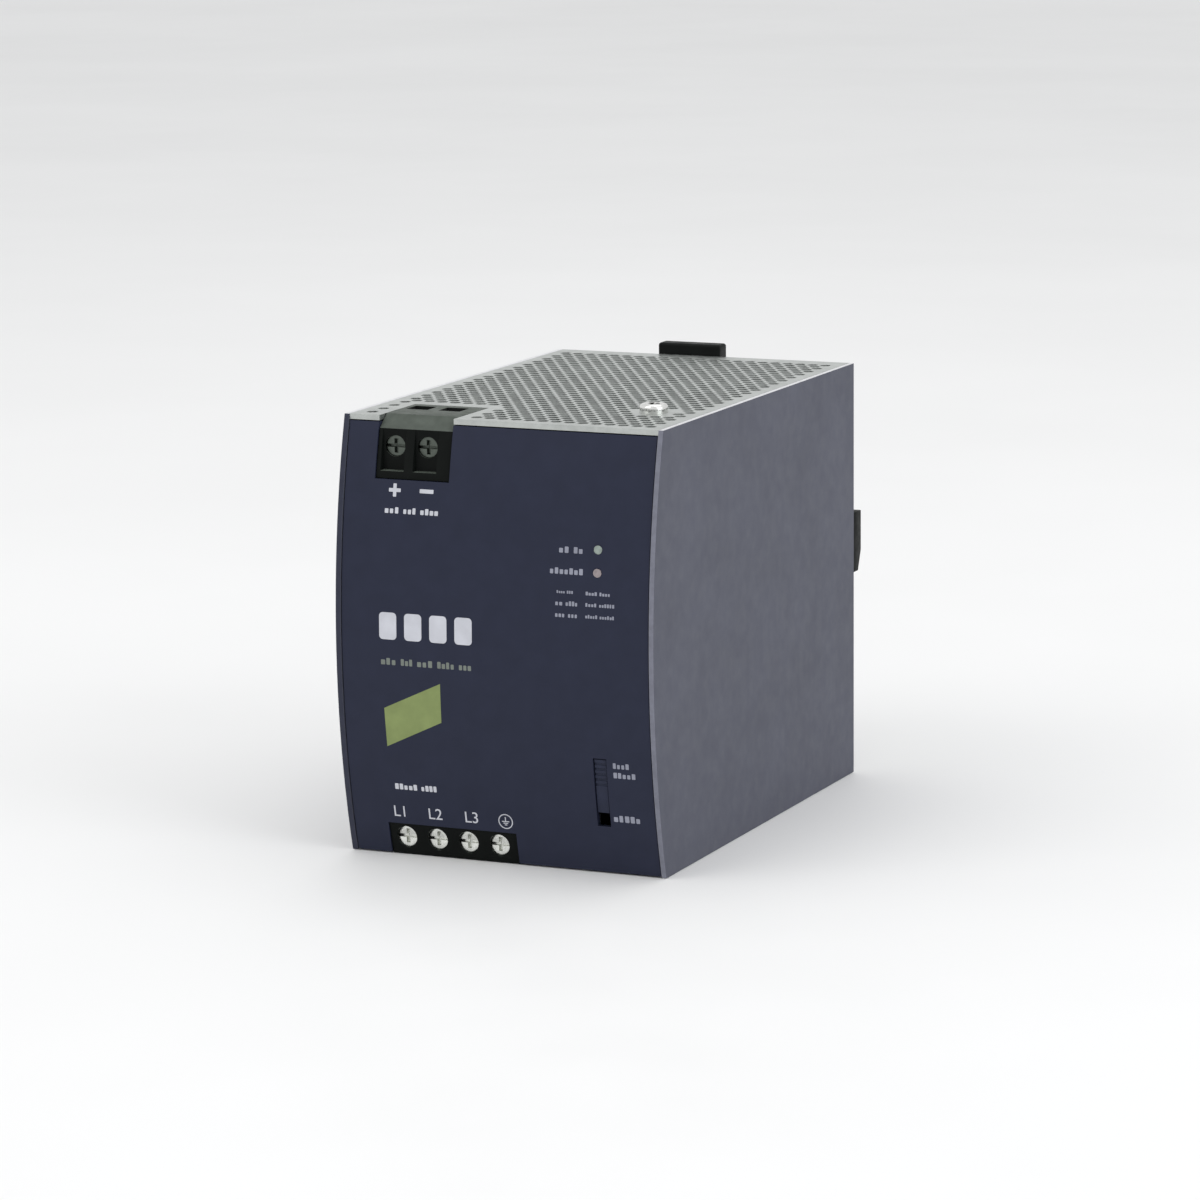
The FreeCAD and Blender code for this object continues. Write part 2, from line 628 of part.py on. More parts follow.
def ring_winding(choke, wire, turns, gap_share, sections):
    """Wire turns laid side by side round a ring core, in equal sections, each with a lead."""
    outer, inner, thick = choke["outer"], choke["inner"], choke["thick"]
    spread = 2 * math.pi / sections
    covered = spread * (1 - gap_share)
    core = tube(0, 0, 0, outer, inner, thick, Z_AXIS)
    coils = []
    for k in range(sections):
        start = k * spread - covered / 2
        outside = ridged_ring(outer + wire * 0.5, wire * 0.5, start, start + covered, turns)
        inside = ridged_ring(inner - wire * 0.5, -wire * 0.3, start, start + covered, turns)
        outline = outside + inside[::-1]
        coil = Part.Face(Part.makePolygon(outline + outline[:1])).extrude(V(0, 0, thick + 2 * wire))
        coil.translate(V(0, 0, -wire))
        middle = start + covered / 2
        reach = outer + wire * 0.3
        lead = rod(reach * math.cos(middle), reach * math.sin(middle), board_face_x - choke["x0"],
                   wire * 0.4, choke["x0"] - board_face_x, Z_AXIS)
        coils.append(coil.fuse(lead).cut(core))
    group = Part.makeCompound(coils)
    group.rotate(V(0, 0, 0), Y_AXIS, 90)
    group.translate(V(choke["x0"], choke["y"], choke["z"]))
    return group


filter_choke = {"y": 51.0, "z": 30.0, "outer": 16.0, "inner": 9.0, "x0": board_face_x + 5.0, "thick": 14.0}
output_choke = {"y": 124.0, "z": 75.0, "outer": 12.5, "inner": 6.5, "x0": board_face_x + 5.0, "thick": 14.0}


def filter_capacitors():
    cases = []
    for z in (53.0, 66.0, 79.0):
        case = box(board_face_x, board_face_x + 21, 35, 61, z, z + 11)
        cases.append(case.makeFillet(0.6, [e for e in case.Edges if e.CenterOfMass.x > board_face_x + 1]))
    return Part.makeCompound(cases)


def can_capacitor(y, z, radius, length):
    """Round capacitor lying along X, with a rolled groove near its base and a scored vent."""
    can = rod(board_face_x, y, z, radius, length, X_AXIS)
    can = can.makeFillet(0.8, [e for e in can.Edges if e.Closed and e.CenterOfMass.x > board_face_x + 1])
    can = can.cut(tube(board_face_x + 4, y, z, radius + 1, radius - 0.5, 1.6, X_AXIS))
    vent = box(board_face_x + length - 0.3, board_face_x + length + 1, -0.3, 0.3, -radius * 0.6, radius * 0.6)
    for turn in (0, 90):
        mark = vent.copy()
        mark.rotate(V(0, 0, 0), X_AXIS, turn)
        mark.translate(V(0, y, z))
        can = can.cut(mark)
    return can


def bulk_capacitors():
    return Part.makeCompound([can_capacitor(86.5, z, 12.5, 52.0) for z in (22.0, 48.0)])


def output_capacitors():
    return Part.makeCompound([can_capacitor(y, z, 5.6, 32.0)
                              for y in (115.5, 128.5) for z in (96.5, 108.5)])


def heatsink(plate_y, fin_dir):
    """A plate standing on the main board, with upright fins on one face."""
    x0, x1, z0, z1, thick, fin = board_face_x + 1.0, 34.0, 66.0, 112.0, 3.0, 5.0
    pieces = [box(x0, x1, plate_y, plate_y + thick, z0, z1)]
    for k in range(10):
        fx = x0 + 24 + k * 5.5
        a, b = sorted((plate_y if fin_dir < 0 else plate_y + thick,
                       plate_y - fin if fin_dir < 0 else plate_y + thick + fin))
        pieces.append(box(fx, fx + 1.4, a, b, z0, z1))
    for z in (z0 + 2, z1 - 5):
        pieces.append(box(board_face_x, x0, plate_y, plate_y + thick, z, z + 3))
    return join(pieces)


def power_package(plate_back_y, z):
    """A flat power semiconductor against a heatsink, with its legs in the board."""
    x0 = board_face_x + 6
    case = box(x0, x0 + 20, plate_back_y, plate_back_y + 4.8, z - 7.9, z + 7.9)
    hole = rod(x0 + 15, plate_back_y - 1, z, 1.8, 8, Y_AXIS)
    legs = [box(board_face_x, x0, plate_back_y + 2, plate_back_y + 2.8, z + dz - 0.6, z + dz + 0.6)
            for dz in (-5.4, 0, 5.4)]
    return join([case.cut(hole)] + legs)


primary_plate_y = 67.0
output_plate_y = 99.5


def bridge_rectifier():
    y0, z0 = primary_plate_y + 3.0, 103.0
    x0 = board_face_x + 6
    case = box(x0, x0 + 18, y0, y0 + 4.6, z0 - 0.5, z0 + 8.5)
    legs = [box(board_face_x, x0, y0 + 2, y0 + 2.8, z0 + dz - 0.4, z0 + dz + 0.4) for dz in (1, 3, 5, 7)]
    return join([case] + legs)


transformer = {"y": 121.0, "z": 33.5, "x0": board_face_x + 4.0, "high": 42.0, "wide": 42.0, "deep": 18.0,
               "leg": 6.5, "middle": 12.0, "yoke": 6.5}


def transformer_core():
    """Two E halves closed on each other: three legs and two yokes."""
    t = transformer
    y0, y1 = t["y"] - t["deep"] / 2, t["y"] + t["deep"] / 2
    z0, z1 = t["z"] - t["wide"] / 2, t["z"] + t["wide"] / 2
    core = box(t["x0"], t["x0"] + t["high"], y0, y1, z0, z1)
    for low, high in ((z0 + t["leg"], t["z"] - t["middle"] / 2), (t["z"] + t["middle"] / 2, z1 - t["leg"])):
        core = core.cut(box(t["x0"] + t["yoke"], t["x0"] + t["high"] - t["yoke"], y0 - 1, y1 + 1, low, high))
    return core


def transformer_bobbin():
    """The coil former: a tube round the middle leg, a flange at each end, and four feet."""
    t = transformer
    low, high = t["x0"] + t["yoke"] + 0.2, t["x0"] + t["high"] - t["yoke"] - 0.2
    inner_y, inner_z = t["deep"] / 2 + 0.2, t["middle"] / 2 + 0.2
    wall = 1.0
    wide_z = t["wide"] / 2 - t["leg"] - 0.3
    wide_y = t["deep"] / 2 + 8.0
    pieces = [box(low, high, t["y"] - inner_y - wall, t["y"] + inner_y + wall,
                  t["z"] - inner_z - wall, t["z"] + inner_z + wall)]
    for x in (low, high - wall):
        pieces.append(box(x, x + wall, t["y"] - wide_y, t["y"] + wide_y, t["z"] - wide_z, t["z"] + wide_z))
    for dy in (-wide_y, wide_y - 4):
        pieces.append(box(board_face_x, low + wall, t["y"] + dy, t["y"] + dy + 4, t["z"] - 10, t["z"] + 10))
    body = join(pieces)
    return body.cut(box(low - 1, high + 1, t["y"] - inner_y, t["y"] + inner_y,
                        t["z"] - inner_z, t["z"] + inner_z))


def transformer_winding():
    """The wound copper between the former's flanges, in three taped layers."""
    t = transformer
    low, high = t["x0"] + t["yoke"] + 1.3, t["x0"] + t["high"] - t["yoke"] - 1.3
    inner_y, inner_z = t["deep"] / 2 + 1.25, t["middle"] / 2 + 1.25
    pieces = []
    third = (high - low) / 3
    for k in range(3):
        grow = 6.2 if k == 1 else 6.5
        outer = box(low + k * third, low + (k + 1) * third, t["y"] - inner_y - grow, t["y"] + inner_y + grow,
                    t["z"] - inner_z - grow, t["z"] + inner_z + grow)
        outer = outer.makeFillet(3.0, [e for e in outer.Edges
                                       if abs(e.BoundBox.XLength - third) < 1e-6])
        pieces.append(outer)
    body = join(pieces)
    return body.cut(box(low - 1, high + 1, t["y"] - inner_y, t["y"] + inner_y,
                        t["z"] - inner_z, t["z"] + inner_z))


def output_busbars():
    """Two bars over the heatsinks, from the output section to the front board."""
    bars = []
    y0 = front_board_y + board_sheet
    for x, y1 in ((pole_xs(output)[0], 112.0), (pole_xs(output)[1], 132.0)):
        run = box(x - 1, x + 1, y0, y1, 114.6, 118.4)
        leg = box(board_face_x, x + 1, y1 - 3, y1, 114.6, 118.4)
        bars.append(join([run, leg]))
    return Part.makeCompound(bars)


# --- all nodes --------------------------------------------------------------------------
def core_of(choke):
    return ring_core(choke["y"], choke["z"], choke["outer"], choke["inner"], choke["x0"], choke["thick"])


nodes = {
    "side_panel_left": side_panel(-1),
    "side_panel_right": side_panel(1),
    "front_panel": front_panel(),
    "top_grille": top_grille(),
    "bottom_grille": bottom_grille(),
    "rear_wall": rear_wall(),
    "cover_screws": cover_screws(),
    "rear_screws": rear_screws(),
    "rail_bracket": rail_bracket(),
    "bracket_screws": bracket_screws(),
    "release_slider": release_slider(),
    "release_spring": release_spring(),
    "slider_guide": slider_guide(),
    "output_terminal_housing": output_terminal_housing(),
    "output_contact_bars": contact_bars(output),
    "input_terminal_housing": mains_terminal_housing(),
    "input_contact_bars": contact_bars(mains),
    "ok_light_pipe": light_pipe(light_z["ok"]),
    "overload_light_pipe": light_pipe(light_z["overload"]),
    "indicator_leds": indicator_leds(),
    "selector_body": selector_body(),
    "selector_knob": selector_knob(),
    "front_board": front_board(),
    "board_header": board_header(),
    "main_board": main_board(),
    "board_standoffs": board_standoffs(),
    "board_screws": board_screws(),
    "insulation_sheet": insulation_sheet(),
    "earth_strap": earth_strap(),
    "input_fuses": input_fuses(),
    "varistors": varistors(),
    "inrush_relay": inrush_relay(),
    "filter_choke_core": core_of(filter_choke),
    "filter_choke_windings": ring_winding(filter_choke, 1.6, 7, 0.22, 3),
    "filter_capacitors": filter_capacitors(),
    "bridge_rectifier": bridge_rectifier(),
    "bulk_capacitors": bulk_capacitors(),
    "primary_heatsink": heatsink(primary_plate_y, -1),
    "primary_transistors": Part.makeCompound([power_package(primary_plate_y + 3, z) for z in (76.0, 93.5)]),
    "transformer_core": transformer_core(),
    "transformer_bobbin": transformer_bobbin(),
    "transformer_winding": transformer_winding(),
    "output_heatsink": heatsink(output_plate_y, -1),
    "output_rectifiers": Part.makeCompound([power_package(output_plate_y + 3, z) for z in (78.0, 96.0)]),
    "output_choke_core": core_of(output_choke),
    "output_choke_winding": ring_winding(output_choke, 1.6, 20, 0.12, 1),
    "output_capacitors": output_capacitors(),
    "output_busbars": output_busbars(),
}
for block, side in ((output, "output"), (mains, "input")):
    for name, x in zip(block["names"], pole_xs(block)):
        nodes[side + "_screw_" + name] = terminal_screw(block, x)
        nodes[side + "_clamp_" + name] = terminal_clamp(block, x)

os.makedirs("parts", exist_ok=True)
for name, shape in nodes.items():
    placed = shape.copy()
    placed.translate(V(0, -origin_y, 0))
    placed.exportStep("parts/" + name + ".step")
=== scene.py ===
"""DIN rail power supply: looks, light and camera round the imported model."""
import json
import math
import random

import bmesh
import bpy
from mathutils import Matrix, Vector


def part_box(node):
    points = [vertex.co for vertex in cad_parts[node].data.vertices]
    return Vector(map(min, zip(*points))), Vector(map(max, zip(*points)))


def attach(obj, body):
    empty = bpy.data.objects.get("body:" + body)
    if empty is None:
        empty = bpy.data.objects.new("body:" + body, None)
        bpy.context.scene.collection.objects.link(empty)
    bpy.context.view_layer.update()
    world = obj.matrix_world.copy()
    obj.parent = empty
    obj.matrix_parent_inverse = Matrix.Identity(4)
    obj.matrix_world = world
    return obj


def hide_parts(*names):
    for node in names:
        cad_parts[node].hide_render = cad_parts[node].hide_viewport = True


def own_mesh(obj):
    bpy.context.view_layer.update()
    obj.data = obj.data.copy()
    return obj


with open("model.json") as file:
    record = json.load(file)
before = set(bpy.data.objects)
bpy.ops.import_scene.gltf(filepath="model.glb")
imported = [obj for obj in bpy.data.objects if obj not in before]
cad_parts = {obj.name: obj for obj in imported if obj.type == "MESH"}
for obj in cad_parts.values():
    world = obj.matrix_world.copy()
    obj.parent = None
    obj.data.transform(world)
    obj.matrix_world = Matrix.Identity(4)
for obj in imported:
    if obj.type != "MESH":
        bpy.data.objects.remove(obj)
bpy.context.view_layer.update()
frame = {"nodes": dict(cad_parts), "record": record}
MM = 0.001
random.seed(7)

# --- places worked out from the frame ---------------------------------------------------
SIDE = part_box("side_panel_right")
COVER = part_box("top_grille")
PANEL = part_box("front_panel")
HEIGHT = SIDE[1].z
HALF_WIDTH = SIDE[1].x
# The front panel lies this far behind the side panels' edges. It is taken to 0.1 mm,
# because the boxes are those of faceted arcs.
PANEL_INSET = round(PANEL[0].y - SIDE[0].y, 4)
CORNER_Y = COVER[0].y - 0.2 * MM        # the side panels' front corners
BOW = CORNER_Y - SIDE[0].y
BOW_RADIUS = (HEIGHT ** 2 / 4 + BOW ** 2) / (2 * BOW)
BOW_CENTRE_Y = SIDE[0].y + BOW_RADIUS


def panel_y(z, lift=0.0):
    """Y of the front panel's face at height z, lifted outwards."""
    radius = BOW_RADIUS - PANEL_INSET + lift
    return BOW_CENTRE_Y - math.sqrt(radius ** 2 - (z - HEIGHT / 2) ** 2)


# --- camera -----------------------------------------------------------------------------
CAMERA = {"azimuth": 23.755, "elevation": 10.434, "roll": -0.549, "distance": 1.3926,
          "sideways": -0.0028, "lens": 144.5}


def add_camera():
    """A long lens from the front right, a little above, turned on the middle of the housing."""
    az, el, roll = (math.radians(CAMERA[k]) for k in ("azimuth", "elevation", "roll"))
    back = Vector((math.sin(az) * math.cos(el), -math.cos(az) * math.cos(el), math.sin(el)))
    right = Vector((0, 0, 1)).cross(back).normalized()
    up = back.cross(right)
    turned_right = right * math.cos(roll) + up * math.sin(roll)
    turned_up = up * math.cos(roll) - right * math.sin(roll)
    rear_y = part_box("rear_wall")[1].y
    middle = Vector((0, (CORNER_Y + rear_y) / 2, HEIGHT / 2))
    data = bpy.data.cameras.new("camera")
    data.lens = CAMERA["lens"]
    data.clip_start, data.clip_end = 0.05, 20.0
    camera = bpy.data.objects.new("camera", data)
    bpy.context.scene.collection.objects.link(camera)
    place = middle + back * CAMERA["distance"] + right * CAMERA["sideways"]
    turn = Matrix((turned_right, turned_up, back)).transposed().to_4x4()
    camera.matrix_world = Matrix.Translation(place) @ turn
    bpy.context.scene.camera = camera


# --- materials --------------------------------------------------------------------------
class Nodes:
    """A material under construction: adds nodes and links by short calls."""

    def __init__(self, name):
        self.material = bpy.data.materials.new(name)
        self.material.use_nodes = True
        self.tree = self.material.node_tree
        self.shader = self.tree.nodes["Principled BSDF"]
        self.coords = self.add("ShaderNodeTexCoord").outputs["Object"]

    def add(self, kind, **settings):
        node = self.tree.nodes.new(kind)
        for key, value in settings.items():
            setattr(node, key, value)
        return node

    def link(self, output, target):
        self.tree.links.new(output, target)

    def noise(self, scale, detail=3.0, rough=0.5, stretch=None):
        """Noise over the object's own coordinates; scale is in lumps per metre."""
        node = self.add("ShaderNodeTexNoise")
        node.inputs["Scale"].default_value = scale
        node.inputs["Detail"].default_value = detail
        node.inputs["Roughness"].default_value = rough
        source = self.coords
        if stretch:
            mapping = self.add("ShaderNodeMapping")
            mapping.inputs["Scale"].default_value = stretch
            self.link(self.coords, mapping.inputs["Vector"])
            source = mapping.outputs["Vector"]
        self.link(source, node.inputs["Vector"])
        return node.outputs["Fac"]

    def spread(self, value, low, high, start=0.3, end=0.7):
        """Map a texture value from start..end onto low..high."""
        node = self.add("ShaderNodeMapRange")
        ends = {"From Min": start, "From Max": end, "To Min": low, "To Max": high}
        for key, number in ends.items():
            node.inputs[key].default_value = number
        self.link(value, node.inputs["Value"])
        return node.outputs["Result"]

    def ramp(self, value, stops):
        """Map a texture value onto colours: stops of (place, colour)."""
        node = self.add("ShaderNodeValToRGB")
        elements = node.color_ramp.elements
        while len(elements) < len(stops):
            elements.new(0.5)
        for element, (place, colour) in zip(elements, stops):
            element.position = place
            element.color = (*colour, 1.0)
        self.link(value, node.inputs["Fac"])
        return node.outputs["Color"]

    def mix(self, factor, first, second):
        """Blend two colours: the first where the factor is 0, the second where it is 1."""
        node = self.add("ShaderNodeMix", data_type="RGBA")
        self.link(factor, node.inputs["Factor"])
        for value, name in ((first, "A"), (second, "B")):
            socket = [s for s in node.inputs if s.name == name and s.type == "RGBA"][0]
            self.link(value, socket)
        return [s for s in node.outputs if s.type == "RGBA"][0]

    def mix_number(self, factor, first, second):
        """The same for numbers."""
        node = self.add("ShaderNodeMapRange")
        self.link(factor, node.inputs["Value"])
        for value, name in ((first, "To Min"), (second, "To Max")):
            if isinstance(value, (int, float)):
                node.inputs[name].default_value = value
            else:
                self.link(value, node.inputs[name])
        return node.outputs["Result"]

    def math(self, operation, first, second=0.0):
        node = self.add("ShaderNodeMath", operation=operation)
        for i, value in enumerate((first, second)):
            if isinstance(value, (int, float)):
                node.inputs[i].default_value = value
            else:
                self.link(value, node.inputs[i])
        return node.outputs[0]

    def axis(self, name):
        """One coordinate of the object's own space, in metres."""
        node = self.add("ShaderNodeSeparateXYZ")
        self.link(self.coords, node.inputs[0])
        return node.outputs[name]

    def facing(self, name):
        """How squarely the surface faces along one axis of the object, from 0 to 1."""
        normal = self.add("ShaderNodeTexCoord").outputs["Normal"]
        node = self.add("ShaderNodeSeparateXYZ")
        self.link(normal, node.inputs[0])
        return self.math("ABSOLUTE", node.outputs[name])

    def bump(self, height, distance, strength=1.0):
        node = self.add("ShaderNodeBump")
        node.inputs["Distance"].default_value = distance
        node.inputs["Strength"].default_value = strength
        self.link(height, node.inputs["Height"])
        self.link(node.outputs["Normal"], self.shader.inputs["Normal"])

    def set(self, **values):
        for key, value in values.items():
            socket = self.shader.inputs[key.replace("_", " ")]
            if hasattr(value, "is_output"):
                self.link(value, socket)
            else:
                socket.default_value = value


def shades(colour, spread):
    """A darker and a lighter shade of a colour."""
    darker = tuple(c * (1 - spread) for c in colour)
    return darker, tuple(min(1.0, c * (1 + spread)) for c in colour)


def moulded(name, colour, rough=(0.42, 0.58), grain=5200.0, depth=0.00002, spread=0.14, gloss=0.45):
    """Moulded plastic: soft variation in tone and shine, and a fine spark-eroded grain."""
    n = Nodes(name)
    dark, light = shades(colour, spread)
    cloud = n.noise(160.0, 4.0)
    n.set(Base_Color=n.ramp(cloud, ((0.3, dark), (0.7, light))),
          Roughness=n.spread(n.noise(420.0, 3.0), *rough), Specular_IOR_Level=gloss)
    n.bump(n.noise(grain, 2.0), depth)
    return n.material


def sheet_metal(name, colour, rough=(0.3, 0.5), spread=0.12, spangle=90.0, depth=0.000006):
    """Zinc-plated or plain sheet: faint patches of tone and shine, and a rolled grain."""
    n = Nodes(name)
    dark, light = shades(colour, spread)
    cells = n.add("ShaderNodeTexVoronoi")
    cells.inputs["Scale"].default_value = spangle
    n.link(n.coords, cells.inputs["Vector"])
    cell_tone = n.math("MULTIPLY", cells.outputs["Distance"], 0.35)
    patch = n.math("ADD", cell_tone, n.noise(300.0, 5.0, 0.6))
    n.set(Base_Color=n.ramp(patch, ((0.35, dark), (0.85, light))), Metallic=1.0,
          Roughness=n.spread(n.noise(650.0, 4.0, 0.6), *rough))
    n.bump(n.noise(900.0, 3.0, 0.5, stretch=(6.0, 1.0, 6.0)), depth)
    return n.material


def painted_sheet(name, paint, oversprayed, bare, rough, across, grain=3600.0):
    """Coated sheet: its faces square to one axis are coated, and its edges that look up are bare
    metal painted bright, partly a painted highlight of the light from above.

    The left piece's front edge is painted dark as painted shade, and the right piece's is thinly
    oversprayed.
    """
    n = Nodes(name)
    dark, light = shades(paint, 0.07)
    coat = n.ramp(n.noise(45.0, 4.0, 0.6), ((0.3, dark), (0.7, light)))
    thin_dark, thin_light = shades(oversprayed, 0.12)
    thin = n.ramp(n.noise(500.0, 4.0, 0.6), ((0.3, thin_dark), (0.7, thin_light)))
    # Edges that face up are bare metal painted bright: partly a painted highlight of the light from
    # above.
    bare_lit_dark, bare_lit_light = shades(bare, 0.14)
    bare_lit_edge = n.ramp(n.noise(700.0, 4.0, 0.6), ((0.3, bare_lit_dark), (0.7, bare_lit_light)))
    upright = n.math("GREATER_THAN", n.facing("Z"), 0.6)
    # Painted shade: the left piece's front edge takes a dark colour.
    left = n.math("LESS_THAN", n.axis("X"), 0.0)
    painted_shade_edge = n.ramp(n.noise(300.0), ((0.3, (0.024, 0.027, 0.045)), (0.7, (0.030, 0.033, 0.055))))
    front_edge = n.mix(left, thin, painted_shade_edge)
    edge = n.mix(upright, front_edge, bare_lit_edge)
    coated = n.math("GREATER_THAN", n.facing(across), 0.72)
    bare_lit_metallic = n.math("MULTIPLY", upright, 0.9)
    n.set(Base_Color=n.mix(coated, edge, coat), Metallic=n.mix_number(coated, bare_lit_metallic, 0.0),
          Roughness=n.mix_number(coated, n.spread(n.noise(1500.0), 0.34, 0.5),
                                 n.spread(n.noise(240.0, 4.0), *rough)),
          Specular_IOR_Level=0.22)
    n.bump(n.noise(grain, 3.0), 0.000012)
    return n.material


def lit_top_plastic(name, colour, upper, rough=(0.42, 0.56), gloss=0.07):
    """Moulded plastic whose faces that look up are painted paler than the others: a painted
    highlight of the light from above.
    """
    n = Nodes(name)
    dark, light = shades(colour, 0.14)
    lit_top_dark, lit_top_light = shades(upper, 0.16)
    base = n.ramp(n.noise(160.0, 4.0), ((0.3, dark), (0.7, light)))
    lit_top = n.ramp(n.noise(260.0, 4.0), ((0.3, lit_top_dark), (0.7, lit_top_light)))
    # Painted highlight: faces that look up blend towards the paler colour.
    lit_top_mask = n.spread(n.facing("Z"), 0.0, 1.0, 0.45, 0.8)
    n.set(Base_Color=n.mix(lit_top_mask, base, lit_top), Roughness=n.spread(n.noise(420.0, 3.0), *rough),
          Specular_IOR_Level=gloss)
    n.bump(n.noise(5200.0, 2.0), 0.00002)
    return n.material


def terminal_steel(name, bright, dull):
    """Plated clamp screws: the output screws, high up in their recesses, get a dark colour as
    painted shade, and a rougher finish.
    """
    n = Nodes(name)
    tones = []
    for colour in (bright, dull):
        dark, light = shades(colour, 0.1)
        tones.append(n.ramp(n.noise(600.0, 4.0), ((0.3, dark), (0.7, light))))
    # Painted shade: screws above half height, the output ones, take the dark colour.
    output_in_shade = n.math("GREATER_THAN", n.axis("Z"), HEIGHT / 2)
    n.set(Base_Color=n.mix(output_in_shade, *tones), Metallic=1.0,
          Roughness=n.mix_number(output_in_shade, n.spread(n.noise(1400.0, 4.0), 0.2, 0.36), 0.5))
    n.bump(n.noise(2600.0, 2.0), 0.000006)
    return n.material


def wound(name, colour, pitch, axis="X"):
    """Wire or tape turns: close ridges along one axis, painted darker in the grooves and lighter on
    the crests as painted shade and light, with small changes of tone.
    """
    n = Nodes(name)
    dark, light = shades(colour, 0.3)
    waves = n.math("SINE", n.math("MULTIPLY", n.axis(axis), 2 * math.pi / pitch))
    ridge = n.spread(waves, 0.0, 1.0, -1.0, 1.0)
    # Painted shade and light: the colour is darker in the grooves and lighter on the crests.
    tone = n.math("ADD", n.math("MULTIPLY", ridge, 0.5), n.math("MULTIPLY", n.noise(500.0), 0.5))
    n.set(Base_Color=n.ramp(tone, ((0.25, dark), (0.75, light))),
          Roughness=n.spread(n.noise(900.0), 0.2, 0.4), Coat_Weight=0.4)
    n.bump(ridge, pitch * 0.25)
    return n.material


def circuit(name):
    """Solder mask over copper tracks, with bare pads."""
    n = Nodes(name)
    y, z = n.axis("Y"), n.axis("Z")
    brick = n.add("ShaderNodeTexBrick")
    joined = n.add("ShaderNodeCombineXYZ")
    n.link(n.math("ADD", y, n.axis("X")), joined.inputs[0])
    n.link(z, joined.inputs[1])
    n.link(joined.outputs[0], brick.inputs["Vector"])
    brick.inputs["Scale"].default_value = 75.0
    brick.inputs["Mortar Size"].default_value = 0.03
    brick.inputs["Color1"].default_value = (0.012, 0.085, 0.03, 1)
    brick.inputs["Color2"].default_value = (0.018, 0.13, 0.045, 1)
    brick.inputs["Mortar"].default_value = (0.006, 0.04, 0.016, 1)
    dots = n.add("ShaderNodeTexVoronoi")
    dots.inputs["Scale"].default_value = 330.0
    n.link(joined.outputs[0], dots.inputs["Vector"])
    pad = n.math("LESS_THAN", dots.outputs["Distance"], 0.16)
    tin = n.ramp(n.noise(900.0), ((0.3, (0.42, 0.42, 0.4)), (0.7, (0.62, 0.62, 0.58))))
    n.set(Base_Color=n.mix(pad, brick.outputs["Color"], tin), Metallic=n.mix_number(pad, 0.0, 1.0),
          Roughness=n.spread(n.noise(800.0), 0.25, 0.42))
    n.bump(brick.outputs["Fac"], 0.00003)
    return n.material


def lens(name, colour):
    """Clear light pipe with a faint tint, partly milky."""
    n = Nodes(name)
    dark, light = shades(colour, 0.15)
    n.set(Base_Color=n.ramp(n.noise(900.0), ((0.3, dark), (0.7, light))),
          Roughness=n.spread(n.noise(500.0), 0.12, 0.25), Transmission_Weight=0.35, IOR=1.49,
          Coat_Weight=0.5)
    n.bump(n.noise(1500.0), 0.000004)
    return n.material


def plated(name, colour, rough=(0.12, 0.28), recess=None):
    """Bright plated steel with fine turning marks, and painted shade inside a recess at (x, y,
    radius).
    """
    n = Nodes(name)
    dark, light = shades(colour, 0.1)
    tone = n.ramp(n.noise(600.0, 4.0), ((0.3, dark), (0.7, light)))
    if recess:
        x, y, radius = recess
        away = n.math("ADD", n.math("POWER", n.math("SUBTRACT", n.axis("X"), x), 2.0),
                      n.math("POWER", n.math("SUBTRACT", n.axis("Y"), y), 2.0))
        inside = n.math("LESS_THAN", away, radius ** 2)
        # Painted shade: a dark disc over the cover screw's driver recess.
        painted_recess_shade = n.ramp(n.noise(900.0), ((0.3, (0.02, 0.02, 0.02)), (0.7, (0.035, 0.035, 0.03))))
        tone = n.mix(inside, tone, painted_recess_shade)
    n.set(Base_Color=tone, Metallic=1.0, Roughness=n.spread(n.noise(1400.0, 4.0), *rough))
    n.bump(n.noise(2600.0, 2.0), 0.000006)
    return n.material


def coil(name, colour):
    """Enamelled copper wire: warm, glossy, with tone changing from turn to turn."""
    n = Nodes(name)
    dark, light = shades(colour, 0.3)
    n.set(Base_Color=n.ramp(n.noise(900.0, 4.0), ((0.3, dark), (0.7, light))), Metallic=0.75,
          Roughness=n.spread(n.noise(1300.0), 0.22, 0.4), Coat_Weight=0.6)
    n.bump(n.noise(2000.0), 0.00003)
    return n.material


def cover_screw_recess():
    """Middle of the top cover's screw, and the radius that its driver recess reaches."""
    low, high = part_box("cover_screws")
    return (low.x + high.x) / 2, (low.y + high.y) / 2, 1.7 * MM


def ink(name, colour, spread):
    """Screen print: dull, with a very fine grain."""
    return moulded(name, colour, (0.4, 0.55), 4000.0, 0.000004, spread, 0.2)


